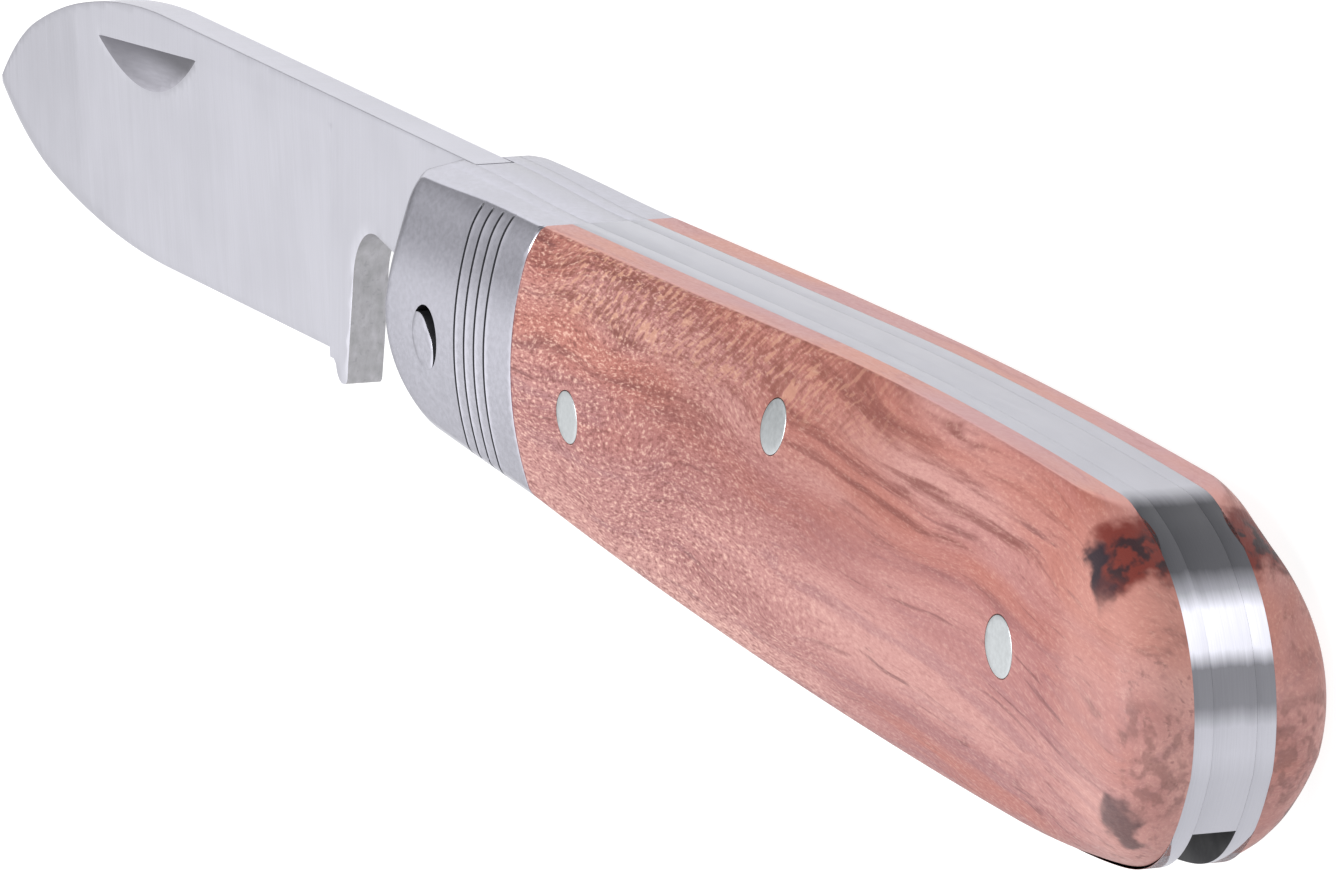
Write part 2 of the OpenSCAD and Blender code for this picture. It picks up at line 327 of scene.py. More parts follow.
def finish_mesh(name, bm, material, crease=34):
    """An object in metres, smooth except at edges sharper than the crease angle."""
    bmesh.ops.recalc_face_normals(bm, faces=bm.faces)
    mesh = bpy.data.meshes.new(name)
    bm.to_mesh(mesh)
    bm.free()
    mesh.transform(Matrix.Scale(MM, 4))
    mesh.shade_smooth()
    mesh.set_sharp_from_angle(angle=math.radians(crease))
    mesh.materials.append(material)
    piece = bpy.data.objects.new(name, mesh)
    bpy.context.scene.collection.objects.link(piece)
    return piece


def face_order(face, count):
    """A number that puts faces in the same order in each run, by their lowest vertices."""
    a, b, c = sorted(v.index for v in face.verts)[:3]
    return (a * count + b) * count + c


def relief(name, material, loops, lines, spacing, top, bottom, side=1, crease=34):
    """A solid between two height functions over a flat drawing. A number as bottom is a plane."""
    flat, faces = triangulate(loops, lines, spacing)
    x, y = flat[:, 0], flat[:, 1]
    bm = bmesh.new()
    upper = [bm.verts.new((a, b, MID + side * c)) for a, b, c in zip(x, y, top(x, y))]
    for face in faces:
        bm.faces.new([upper[i] for i in face])
    rim = [e for e in bm.edges if e.is_boundary]
    if callable(bottom):
        lower = [bm.verts.new((a, b, MID + side * c)) for a, b, c in zip(x, y, bottom(x, y))]
        index = {v: i for i, v in enumerate(upper)}
        for face in faces:
            bm.faces.new([lower[i] for i in face[::-1]])
        for e in rim:
            i, j = index[e.verts[0]], index[e.verts[1]]
            bm.faces.new([upper[i], upper[j], lower[j], lower[i]])
    else:
        made = bmesh.ops.extrude_edge_only(bm, edges=rim)["geom"]
        for v in made:
            if isinstance(v, bmesh.types.BMVert):
                v.co.z = MID + side * bottom
        loop = [e for e in made if isinstance(e, bmesh.types.BMEdge) and e.is_boundary]
        bmesh.ops.triangle_fill(bm, edges=loop, use_beauty=True)
        bm.verts.index_update()
        bm.faces.sort(key=lambda face: face_order(face, len(upper) * 2))
    return finish_mesh(name, bm, material, crease)


def upright(x, low, high, step=0.3):
    """A straight line across the handle at one X."""
    y = np.arange(low, high, step)
    y = np.append(y[y < high - step / 4], high)
    return np.column_stack([np.full(len(y), x), y])


# ---- Materials -----------------------------------------------------------------------------
class Shader:
    """A small writer of shader nodes. Coordinates are in millimetres in the CAD frame."""

    def __init__(self, name):
        self.material = bpy.data.materials.new(name)
        self.material.use_nodes = True
        self.tree = self.material.node_tree
        self.bsdf = self.tree.nodes["Principled BSDF"]
        self.place = self.vector("SCALE", self.node("TexCoord").outputs["Object"], scale=1 / MM)

    def node(self, kind):
        return self.tree.nodes.new("ShaderNode" + kind)

    def put(self, socket, value):
        if isinstance(value, bpy.types.NodeSocket):
            self.tree.links.new(value, socket)
        elif isinstance(value, tuple) and len(value) == 3 and socket.type == "RGBA":
            socket.default_value = (*value, 1)
        else:
            socket.default_value = value

    def noise(self, size, turn=0, place=None, detail=2.0, roughness=0.5):
        """Noise with features of about the given size along X, Y and Z, turned about Z."""
        mapping = self.node("Mapping")
        mapping.vector_type = "TEXTURE"
        self.put(mapping.inputs["Vector"], place or self.place)
        mapping.inputs["Scale"].default_value = size
        mapping.inputs["Rotation"].default_value = (0, 0, math.radians(turn))
        noise = self.node("TexNoise")
        self.put(noise.inputs["Vector"], mapping.outputs["Vector"])
        for name, value in (("Scale", 1.0), ("Detail", detail), ("Roughness", roughness)):
            noise.inputs[name].default_value = value
        return noise.outputs["Fac"]

    def ramp(self, factor, stops):
        node = self.node("ValToRGB")
        self.put(node.inputs["Fac"], factor)
        while len(node.color_ramp.elements) < len(stops):
            node.color_ramp.elements.new(0.5)
        for element, (at, colour) in zip(node.color_ramp.elements, stops):
            element.position = at
            element.color = (*colour, 1) if isinstance(colour, tuple) else (colour, colour, colour, 1)
        return node.outputs["Color"]

    def math(self, kind, a, b=0.0, c=0.0):
        node = self.node("Math")
        node.operation = kind
        for socket, value in zip(node.inputs, (a, b, c)):
            self.put(socket, value)
        return node.outputs[0]

    def times(self, a, b):
        return self.math("MULTIPLY", a, b)

    def step(self, value, low, high, to_low=0.0, to_high=1.0):
        """Goes smoothly from one value to another as the input goes from low to high."""
        node = self.node("MapRange")
        node.interpolation_type = "SMOOTHSTEP"
        limits = (low, high, to_low, to_high) if low < high else (high, low, to_high, to_low)
        for socket, v in zip(node.inputs, (value, *limits)):
            self.put(socket, v)
        return node.outputs["Result"]

    def mix(self, factor, a, b, kind="MIX"):
        node = self.node("Mix")
        node.data_type, node.blend_type = "RGBA", kind
        for socket, value in zip((node.inputs[0], node.inputs[6], node.inputs[7]), (factor, a, b)):
            self.put(socket, value)
        return node.outputs[2]

    def vector(self, kind, a, b=(0, 0, 0), scale=1.0):
        node = self.node("VectorMath")
        node.operation = kind
        self.put(node.inputs[0], a)
        self.put(node.inputs[1], b)
        node.inputs["Scale"].default_value = scale
        return node.outputs["Vector"]

    def axes(self, vector):
        node = self.node("SeparateXYZ")
        self.put(node.inputs[0], vector)
        return node.outputs

    def attribute(self, name):
        node = self.node("Attribute")
        node.attribute_name = name
        return node.outputs["Fac"]

    def bump(self, height, distance):
        node = self.node("Bump")
        node.inputs["Distance"].default_value = distance * MM
        self.put(node.inputs["Height"], height)
        return node.outputs["Normal"]

    def surface(self, **values):
        names = {"colour": "Base Color", "metal": "Metallic", "rough": "Roughness", "normal": "Normal",
                 "spread": "Anisotropic", "across": "Anisotropic Rotation", "specular": "Specular IOR Level",
                 "tint": "Specular Tint"}
        for key, value in values.items():
            self.put(self.bsdf.inputs[names[key]], value)
        return self.material


def darker(colour, factor):
    return tuple(c * factor for c in colour)


def steel_shades(s, colour, lines, contrast=0.07):
    """Colour of ground steel: fine lines of one size along X, Y and Z, with faint clouds."""
    fine = s.noise(lines, detail=3, roughness=0.65)
    cloud = s.noise((7, 7, 7), detail=3)
    shade = s.mix(s.step(fine, 0.3, 0.7), darker(colour, 1 - contrast), darker(colour, 1 + contrast))
    return s.mix(s.step(cloud, 0.4, 0.7, 0, 0.3), shade, darker(colour, 0.88)), fine


def steel(name, colour, rough, lines, relief_depth, contrast=0.07, **more):
    """Ground steel whose fine lines also vary its roughness and stand slightly proud."""
    s = Shader(name)
    shade, fine = steel_shades(s, colour, lines, contrast)
    roughness = s.math("MULTIPLY_ADD", fine, 0.12, rough - 0.06)
    return s.surface(colour=shade, metal=1.0, rough=roughness, normal=s.bump(fine, relief_depth), **more)


# Brightest factor of the painted reflection bands round the butt
REFLECTION_BAND_TOP = 1.6


def brushed_steel_painted_reflections(name):
    """Brushed steel of the strip along the back, with painted reflections: dark and bright bands round the
    butt stand in for the studio mirrored in it.
    """
    s = Shader(name)
    shade, fine = steel_shades(s, (0.50, 0.50, 0.552), (3.5, 3.5, 0.09), 0.05)
    wide = s.noise((14, 14, 0.5), detail=3)
    # Painted reflections: colour factors by the turn round the butt, dark and bright bands in place of
    # reflected light and shade
    painted_reflection_bands = [(-90, 0.93), (-16, 0.93), (-8, 1.04), (0, 1.0), (6, 0.47), (17, 0.43), (22, 1.5), (34, 1.6),
             (40, 0.7), (47, 0.21), (74, 0.18), (81, 0.7), (87, 0.96)]
    turn = s.math("ADD", s.attribute("turn"), s.step(wide, 0.2, 0.8, -0.005, 0.005))
    tone = s.ramp(turn, [((b + 90) / 180, min(1.0, f / REFLECTION_BAND_TOP)) for b, f in painted_reflection_bands])
    shade = s.mix(1.0, s.mix(1.0, shade, tone, "MULTIPLY"), (REFLECTION_BAND_TOP, REFLECTION_BAND_TOP, REFLECTION_BAND_TOP), "MULTIPLY")
    return s.surface(colour=shade, metal=1.0, rough=s.step(fine, 0.2, 0.8, 0.34, 0.46),
                     spread=0.85, across=0.25, normal=s.bump(fine, 0.004))


def raw_finish(name):
    """The sheared and scaled edge of the tang, which was never ground."""
    s = Shader(name)
    mottle = s.noise((0.9, 0.9, 0.5), detail=4, roughness=0.6)
    pits = s.noise((0.35, 0.35, 0.35), detail=1)
    shade = s.ramp(mottle, [(0.3, (0.33, 0.33, 0.34)), (0.55, (0.39, 0.385, 0.405)),
                            (0.75, (0.45, 0.44, 0.47))])
    shade = s.mix(s.step(pits, 0.62, 0.72, 0, 0.35), shade, (0.25, 0.25, 0.26))
    return s.surface(colour=shade, metal=1.0, rough=0.55, normal=s.bump(mottle, 0.02))


def nick_painted_shade(name):
    """The wheel mark of the nick, with painted shade: dark at its deep upper edge and towards the tip, paler
    where it runs out, with its own fine ground lines.
    """
    s = Shader(name)
    lines = s.noise((2.5, 0.25, 0.25), NICK_TURN, detail=3)
    x, y, z = s.axes(s.place)
    # Painted shade of the recess: darkest along its upper edge and towards the tip
    share = s.times(s.step(y, 7.5, 5.9), s.step(x, -68, -60, 0.3, 1))
    shade = s.mix(share, (0.2, 0.195, 0.225), (0.56, 0.55, 0.62))
    shade = s.mix(s.step(lines, 0.35, 0.65, 0, 0.15), shade, (0.16, 0.155, 0.18))
    return s.surface(colour=shade, metal=1.0, rough=0.38, normal=s.bump(lines, 0.005))


def slot_painted_shade(name):
    """Dull steel inside the slot for the blade, painted near-black: painted shade of the narrow slot."""
    s = Shader(name)
    mottle = s.noise((1.5, 1.5, 1.5), detail=4)
    # Painted shade: near-black colour for the shaded inside of the slot
    shade = s.ramp(mottle, [(0.3, (0.05, 0.05, 0.055)), (0.7, (0.10, 0.10, 0.105))])
    return s.surface(colour=shade, metal=1.0, rough=0.6, normal=s.bump(mottle, 0.01))


def grain_place(s):
    """Places shifted so that the grain wanders, and dips towards the belly behind the middle."""
    x, y, z = s.axes(s.place)
    bend = s.math("POWER", s.math("MAXIMUM", s.math("SUBTRACT", x, 50), 0), 2)
    wander = s.step(s.noise((30, 12, 12)), 0.2, 0.8, -1.6, 1.6)
    depth = s.step(s.noise((26, 10, 10), 8), 0.2, 0.8, -1.2, 1.2)
    node = s.node("CombineXYZ")
    s.put(node.inputs["X"], x)
    s.put(node.inputs["Y"], s.math("ADD", s.math("ADD", y, wander), s.times(bend, 0.0025)))
    s.put(node.inputs["Z"], s.math("ADD", z, depth))
    return node.outputs["Vector"]


def scorch(s, colour):
    """Burns of the belt grinder round the butt: near-black along the corner, dark red inside it."""
    turn, inset = s.attribute("turn"), s.attribute("inset")
    ragged = s.step(s.noise((2.2, 1.6, 1.6), detail=3), 0.25, 0.75, -1, 1)
    turn = s.math("ADD", turn, s.times(ragged, 0.022))
    inset = s.math("ADD", inset, s.times(ragged, 0.45))

    def between(value, a, b, c, d):
        return s.times(s.step(value, a, b), s.step(value, d, c))

    def patch(turns, insets, strength):
        share = s.times(between(turn, *((b + 90) / 180 for b in turns)), between(inset, *insets))
        return s.times(share, strength)

    blotch = s.step(s.noise((0.9, 0.9, 0.7), detail=2), 0.42, 0.6)
    colour = s.mix(patch((42, 50, 68, 75), (-1, -0.5, 1.6, 2.6), 0.96), colour, (0.12, 0.017, 0.012))
    spots = s.times(patch((44, 52, 62, 68), (-1, -0.5, 0.9, 1.6), 0.95), blotch)
    colour = s.mix(spots, colour, (0.022, 0.011, 0.014))
    colour = s.mix(patch((36, 56, 69, 74), (1.1, 1.6, 2.1, 2.7), 0.97), colour, (0.018, 0.011, 0.017))
    colour = s.mix(patch((-52, -46, -32, -24), (0.3, 0.9, 2.0, 2.7), 0.8), colour, (0.05, 0.03, 0.035))
    freckles = s.times(patch((-32, -24, 4, 14), (-1, -0.5, 1.0, 1.8), 0.45), blotch)
    return s.mix(freckles, colour, (0.12, 0.055, 0.05))


def wood_streaks(s, colour, place, upper, line):
    """Long brown streaks, darker towards the back, and thin dark lines in patches."""
    streak = s.noise((32, 1.5, 1.5), place=place, detail=4, roughness=0.62)
    patches = s.noise((20, 6, 6), place=place)
    band = s.mix(upper, (0.21, 0.092, 0.105), (0.135, 0.034, 0.028))
    strength = s.math("MULTIPLY_ADD", upper, 0.35, 0.45)
    colour = s.mix(s.times(s.step(streak, 0.5, 0.66), strength), colour, band)
    thin = s.times(s.step(line, 0.56, 0.7, 0, 0.65), s.step(patches, 0.4, 0.6, 0.25, 1))
    return s.mix(thin, colour, (0.105, 0.03, 0.032))


def wood_flecks(s, colour, x, fleck):
    """Dark pores and pale flecks, which are dense in front."""
    grainy = s.math("MULTIPLY_ADD", s.step(x, 66, 38), 0.75, 0.25)
    colour = s.mix(s.times(s.step(fleck, 0.5, 0.68, 0, 0.7), grainy), colour, (0.13, 0.036, 0.03))
    return s.mix(s.times(s.step(fleck, 0.48, 0.3, 0, 0.6), grainy), colour, (0.68, 0.44, 0.35))


def wood_figure(s, colour, place, x, y):
    """Slanting curls along the back, between the joint and the middle."""
    curl = s.noise((1.6, 0.34, 0.34), 40, place=place, detail=2)
    here = s.times(s.step(y, 4.2, 6.2), s.times(s.step(x, 72, 50), s.step(x, 15, 22)))
    colour = s.mix(s.times(s.step(curl, 0.5, 0.62, 0, 0.6), here), colour, (0.16, 0.05, 0.03))
    return s.mix(s.times(s.step(curl, 0.48, 0.36, 0, 0.55), here), colour, (0.52, 0.29, 0.19))


def wood_top_painted_sheen(s, colour, warmth, line):
    """The narrow flat along the back, painted paler and pinker than the sides: a painted sheen for the light
    that this face catches.
    """
    # Painted sheen: faces turned towards +Y get the paler colour, still crossed by the grain's lines
    flat = s.step(s.axes(s.node("TexCoord").outputs["Normal"])["Y"], 0.86, 0.96)
    sheen_colour = s.ramp(warmth, [(0.38, (0.50, 0.27, 0.27)), (0.6, (0.56, 0.27, 0.22))])
    sheen_colour = s.mix(s.step(line, 0.5, 0.68, 0, 0.35), sheen_colour, (0.36, 0.14, 0.15))
    return s.mix(s.times(flat, 0.92), colour, sheen_colour)


def rosewood(name):
    """Reddish wood: flecked and curled in front, with long brown streaks towards the butt, and a painted
    sheen on the flat along the back.
    """
    s = Shader(name)
    place = grain_place(s)
    x, y, z = s.axes(s.place)
    upper = s.step(s.math("ADD", y, s.times(x, 0.03)), 0.5, 4.5)
    tone = s.noise((45, 5, 5), place=place, detail=3)
    warmth = s.noise((28, 4, 4), place=place)
    line = s.noise((18, 0.5, 0.5), place=place, detail=3, roughness=0.6)
    fleck = s.noise((0.55, 0.17, 0.17), place=place, detail=2, roughness=0.65)
    colour = s.ramp(tone, [(0.3, (0.42, 0.218, 0.196)), (0.46, (0.37, 0.174, 0.16)),
                           (0.6, (0.29, 0.118, 0.112)), (0.72, (0.315, 0.112, 0.092))])
    warm = s.times(upper, s.step(warmth, 0.35, 0.6))
    colour = s.mix(s.times(warm, 0.7), colour, (0.315, 0.1, 0.07))
    colour = wood_streaks(s, colour, place, upper, line)
    colour = wood_flecks(s, colour, x, fleck)
    colour = wood_figure(s, colour, place, x, y)
    middle = s.times(s.step(x, 24, 40), s.times(s.step(x, 80, 58), s.step(y, -5, 1)))
    colour = s.mix(s.times(middle, 0.3), colour, (0.17, 0.045, 0.035))
    colour = s.mix(s.step(x, 87, 92, 0, 0.22), colour, (0.55, 0.33, 0.29))
    # Painted sheen on the flat along the back
    colour = wood_top_painted_sheen(s, colour, warmth, line)
    colour = scorch(s, colour)
    return s.surface(colour=colour, rough=s.step(fleck, 0.2, 0.8, 0.42, 0.58), specular=0.25,
                     normal=s.bump(fleck, 0.012))


EDGE_TINT = (0.62, 0.62, 0.62)
blade_steel = steel("satin_blade_steel", (0.72, 0.717, 0.785), 0.34, (0.16, 9, 9), 0.003, 0.025,
                    tint=EDGE_TINT)
bolster_steel = steel("bolster_steel", (0.672, 0.667, 0.75), 0.22, (0.5, 0.35, 0.35), 0.003, 0.05,
                      tint=EDGE_TINT)
pin_steel = steel("pin_steel", (0.56, 0.585, 0.60), 0.32, (0.3, 0.3, 0.3), 0.003)
# Brushed steel for the liners and spring, with painted reflection bands round the butt
strip_steel = brushed_steel_painted_reflections("brushed_back_steel_painted_reflections")
raw_steel = raw_finish("raw_tang_steel")
# Steel of the nick with painted shade in its recess
nick_steel_painted_shade = nick_painted_shade("nick_steel_painted_shade")
# Dark steel for the walls of the grooves and round the pivot's head: painted shade of these narrow recesses
groove_steel_painted_shade = steel("groove_steel_painted_shade", (0.16, 0.16, 0.175), 0.4, (0.4, 0.4, 0.4), 0.003)
# Steel inside the slot with painted shade
slot_steel_painted_shade = slot_painted_shade("slot_steel_painted_shade")
# Rosewood with a painted sheen on the flat along its back
wood = rosewood("rosewood_with_painted_sheen")


# ---- Handle --------------------------------------------------------------------------------
def pin_place(node):
    """Centre and radius of a round CAD pin."""
    low, high = span(node)
    return (low[:2] + high[:2]) / 2, (high[0] - low[0]) / 2


wood_pins = {name: pin_place(name) for name in ("spring_pin", "rear_pin", "left_scale_pin")}


def store(piece, name, values):
    piece.data.attributes.new(name, "FLOAT", "POINT").data.foreach_set("value", values)


def second_finish(piece, material, chosen):
    """Gives the faces that a rule on normal and centre picks another material."""
    piece.data.materials.append(material)
    index = len(piece.data.materials) - 1
    for face in piece.data.polygons:
        if chosen(face.normal, face.center / MM):
            face.material_index = index


def mark_butt(piece):
    """Stores where each point is round the butt, 0 at the belly to 1 at the back, and how far in."""
    at = np.array([v.co[:2] for v in piece.data.vertices]) / MM
    turn = np.degrees(np.arctan2(at[:, 1] - BUTT_CENTRE[1], at[:, 0] - BUTT_CENTRE[0]))
    store(piece, "turn", (np.clip(turn, -90, 90) + 90) / 180)
    inset = np.full(len(at), float(INSET_MOST))
    close = at[:, 0] > BUTT_CENTRE[0] - INSET_MOST
    inset[close] = np.minimum(nearest(at[close], rear_path())[0], INSET_MOST)
    store(piece, "inset", inset)


def wood_rim():
    path = rear_path()
    x, y = path[:, 0], path[:, 1]
    high = CREASE_R + (BUTT_EDGE_R - CREASE_R) * smoothstep(*HIGH_EDGE_GROWS_X, x)
    low = BELLY_EDGE_R + (BUTT_EDGE_R - BELLY_EDGE_R) * smoothstep(*LOW_EDGE_GROWS_X, x)
    return Rim(path, np.where(y > BUTT_CENTRE[1], high, low))


def bolster_rims():
    """The crease along the top, and the wide rounding down the front that runs into the belly's."""
    path = front_path()
    top = path[: int(np.argmax(path[:, 0] < FRONT_X + FRONT_TOP_R)) + 1]
    crease = np.vstack([top, [[FRONT_X - 2, top[-1][1]]]])
    low = path[path[:, 1] < HUMP_Y - FRONT_TOP_R]
    x, y = low[:, 0], low[:, 1]
    front = smoothstep(*FRONT_EDGE_GROWS_X, x)
    share = FRONT_EDGE_LEAST + (1 - FRONT_EDGE_LEAST) * smoothstep(*FRONT_EDGE_GROWS_Y, y)
    radius = BELLY_EDGE_R + (FRONT_EDGE_R * share - BELLY_EDGE_R) * front
    upper = np.array([[FRONT_X, HUMP_Y + 1], [FRONT_X, HUMP_Y], [FRONT_X, HUMP_Y - FRONT_TOP_R / 2]])
    front_rim = Rim(np.vstack([upper, low]), np.concatenate([np.full(3, radius[0]), radius]))
    return Rim(crease, np.full(len(crease), CREASE_R)), front_rim


def seam(x, y):
    """The wood is eased along the steel, and sanded a little lower near the back."""
    ease = 1 - smoothstep(0, SEAM_W, x - JOINT_X)
    return ease * (SEAM_DEPTH + SEAM_SANDED * smoothstep(*SEAM_SANDED_Y, y))


def scale(name, side, *nodes):
    """A wooden side with holes for its pins."""
    rim = wood_rim()
    inner = JOINT_X + SEAM_W
    seam_line = upright(JOINT_X, BELLY_START_Y, BACK_Y)[1:-1][::-1]
    loops = [np.vstack([rim.path, seam_line])]
    loops += [circle(at, radius + PIN_GAP) for at, radius in wood_pins.values()]
    lines = rim.rings()
    lines += [upright(x, float(belly_at(x)) + 0.001, BACK_Y - 0.001) for x in (JOINT_X + SEAM_W / 2, inner)]

    def top(x, y):
        return crown(x, y, WOOD_FALL) - rim.drop(np.column_stack([x, y])) - seam(x, y)

    piece = relief(name, wood, loops, lines, WOOD_MESH, top, LINER_TOP, side)
    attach(piece, "handle")
    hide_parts(*nodes)
    mark_butt(piece)
    return piece


def grooves(x, y):
    """Height of the engraved grooves: a steep cut with a small burr, which ends at the crease."""
    nearest_groove = np.clip(np.round((x - GROOVE_X) / GROOVE_PITCH), 0, GROOVES - 1)
    cut = np.interp(x - GROOVE_X - GROOVE_PITCH * nearest_groove, *zip(*GROOVE_SHAPE))
    return cut * smoothstep(GROOVE_TO_Y + GROOVE_FADE, GROOVE_TO_Y, y)


def pivot_head():
    """The pin's hammered head, which doesn't fill its hole towards the grooves."""
    turn = np.linspace(-180, 180, 97)[:-1]
    share = np.clip((turn - CRESCENT_FROM) / (CRESCENT_TO - CRESCENT_FROM), 0, 1)
    radius = PIVOT_HOLE_R - PIVOT_FIT - CRESCENT_W * np.sin(math.pi * share**CRESCENT_SKEW)
    angle = np.radians(turn)
    return np.column_stack([radius * np.cos(angle), radius * np.sin(angle)])


def lowered(x, y):
    """The top of the left steel end slopes down from the slot, by this much at the crease."""
    t = np.clip((JOINT_X - x) / (JOINT_X - HUMP_FRONT_X), 0, 1)
    hump = (1 - np.cos(math.pi * t)) / 2
    return TOP_SLOPE * hump**TOP_SLOPE_POWER * smoothstep(TOP_SLOPE_FROM_Y, HUMP_Y, y)


def slope_top(piece, side):
    """Tilts the top wall of a steel plate about the edge of the slot, where it was ground lower."""
    if side != SLOPED_SIDE:
        return
    for v in piece.data.vertices:
        x, y, z = v.co / MM
        share = min(1, max(0, (abs(z - MID) - SLOT_HALF) / (TOP_SLOPE_END - SLOT_HALF)))
        v.co.y -= float(lowered(x, y)) * share * MM


def bolster(name, side, *nodes):
    """A steel end with its grooves and the hole for the pivot's head."""
    crease, front = bolster_rims()
    seam_line = upright(JOINT_X, BELLY_START_Y, BACK_Y)[1:-1]
    loops = [np.vstack([front_path(), seam_line]), circle((0, 0), PIVOT_HOLE_R)]
    lines = [ring[ring[:, 0] > FRONT_X + 0.05] for ring in crease.rings(4)]
    lines += [ring[ring[:, 1] < HUMP_Y - 0.1] for ring in front.rings()]
    for i in range(GROOVES):
        for offset, _ in GROOVE_SHAPE:
            lines.append(upright(GROOVE_X + i * GROOVE_PITCH + offset, ACROSS_FROM_Y, ACROSS_TO_Y))
    lines.append(upright(JOINT_X - STEEL_CHAMFER, ACROSS_FROM_Y, ACROSS_TO_Y))

    def top(x, y):
        at = np.column_stack([x, y])
        share = CHAMFER_LEAST + (1 - CHAMFER_LEAST) * smoothstep(*CHAMFER_GROWS_Y, y)
        chamfer = np.clip(x - JOINT_X + STEEL_CHAMFER, 0, None) * share
        ground = lowered(x, y) if side == SLOPED_SIDE else 0
        side_height = crown(x, y - ground, 0) - crease.drop(at) - front.drop(at)
        return side_height + grooves(x, y) - chamfer

    piece = relief(name, bolster_steel, loops, lines, BOLSTER_MESH, top, LINER_TOP, side)
    slope_top(piece, side)
    # Walls of the pivot's hole and of the grooves get the painted shade of a recess
    second_finish(piece, groove_steel_painted_shade, lambda normal, centre:
                  abs(normal.z) < 0.3 and math.hypot(centre.x, centre.y) < PIVOT_HOLE_R + 0.1
                  or grooves(centre.x, centre.y) < -0.05 and abs(centre.z - MID) > LINER_TOP + 0.1)
    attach(piece, "handle")
    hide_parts(*nodes)
    return piece


def liner(name, side, node):
    """The steel plate between the slot and a side."""
    front, rear = front_path(), rear_path()
    path = np.vstack([front[1:-1], rear])
    rim = Rim(path, np.full(len(path), PLATE_EDGE_R), closed=True)
    middle, half = (SLOT_HALF + LINER_TOP) / 2, (LINER_TOP - SLOT_HALF) / 2

    def top(x, y):
        return middle + half - rim.drop(np.column_stack([x, y]))

    def bottom(x, y):
        return middle - half + rim.drop(np.column_stack([x, y]))

    piece = relief(name, strip_steel, [path], rim.rings(2), PLATE_MESH, top, bottom, side)
    slope_top(piece, side)
    mark_butt(piece)
    # Faces towards the slot get the painted shade of the slot
    second_finish(piece, slot_steel_painted_shade, lambda normal, centre: normal.z * side < -0.9)
    second_finish(piece, bolster_steel, lambda normal, centre: normal.y > 0.3 and centre.x < JOINT_X)
    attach(piece, "handle")
    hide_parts(node)
    return piece


def spring():
    """The back spring, whose outer edge follows the back and the butt."""
    front, rear = front_path(), rear_path()
    butt_and_back = rear[(rear[:, 0] > BUTT_CENTRE[0]) & (rear[:, 1] > -9.5) | (rear[:, 1] > 3)]
    front_x = SPRING_X + SPRING_GAP
    top_front = front[(front[:, 1] > HUMP_Y - 0.6) & (front[:, 0] > front_x)]
    inner = resample(np.array([(front_x, SPRING_SEAT_Y)] + SPRING_INSIDE, float), 0.8)
    soft = (inner[:, 0] > SPRING_SOFT_FROM_X) & (inner[:, 0] < SPRING_SOFT_TO_X)
    inner = relax(inner, np.where(soft, 1, 0), 12)
    path = join(inner, butt_and_back, top_front[1:], [(front_x, HUMP_Y)])
    rim = Rim(path, np.full(len(path), PLATE_EDGE_R), closed=True)

    def top(x, y):
        return SLOT_HALF - rim.drop(np.column_stack([x, y]))

    def bottom(x, y):
        return -top(x, y)

    piece = relief("spring_steel", strip_steel, [path], rim.rings(2), PLATE_MESH, top, bottom)
    mark_butt(piece)
    # The spring's inner faces round the butt get the painted shade of the slot
    second_finish(piece, slot_steel_painted_shade, lambda normal, centre: normal.y < -0.3 and centre.y > SPRING_END_Y
                  and math.dist(centre[:2], BUTT_CENTRE) < BUTT_R - 0.4)
    second_finish(piece, bolster_steel, lambda normal, centre: normal.y > 0.3 and centre.x < JOINT_X)
    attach(piece, "handle")
    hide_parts("back_spring")
    return piece


def pin(name, outline, fall, node, side=0, edge=PIN_EDGE_R, material=pin_steel):
    """A flush pin whose ends follow the crown. With side 0 it goes right through the handle."""
    rim = Rim(outline, np.full(len(outline), edge), closed=True)

    def top(x, y):
        return crown(x, y, fall) + PIN_PROUD - rim.drop(np.column_stack([x, y]))

    def bottom(x, y):
        return -top(x, y)

    far_end = SLOT_HALF if side else bottom
    piece = relief(name, material, [outline], rim.rings(3), PIN_MESH, top, far_end, side or 1)
    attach(piece, "handle")
    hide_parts(node)
    return piece


scale("rosewood_scale_left", 1, "left_scale")
scale("rosewood_scale_right", -1, "right_scale")
bolster("grooved_bolster_left", 1, "left_bolster", "left_bolster_rivets")
bolster("grooved_bolster_right", -1, "right_bolster", "right_bolster_rivets")
liner("liner_plate_left", 1, "left_liner")
liner("liner_plate_right", -1, "right_liner")
spring()
pin("spring_pin_steel", circle(*wood_pins["spring_pin"]), WOOD_FALL, "spring_pin")
pin("rear_pin_steel", circle(*wood_pins["rear_pin"]), WOOD_FALL, "rear_pin")
pin("scale_pin_steel_left", circle(*wood_pins["left_scale_pin"]), WOOD_FALL, "left_scale_pin", 1)
pin("scale_pin_steel_right", circle(*wood_pins["left_scale_pin"]), WOOD_FALL, "right_scale_pin", -1)
pivot = pin("pivot_pin_head", pivot_head(), 0, "pivot_pin", edge=PIVOT_EDGE_R, material=bolster_steel)
# Sides of the pivot's head, in the gap of its hole, get painted shade
second_finish(pivot, groove_steel_painted_shade, lambda normal, centre: abs(normal.z) < 0.3)

# ---- Blade ---------------------------------------------------------------------------------
def polar(radius, angle):
    return radius * math.cos(math.radians(angle)), radius * math.sin(math.radians(angle))


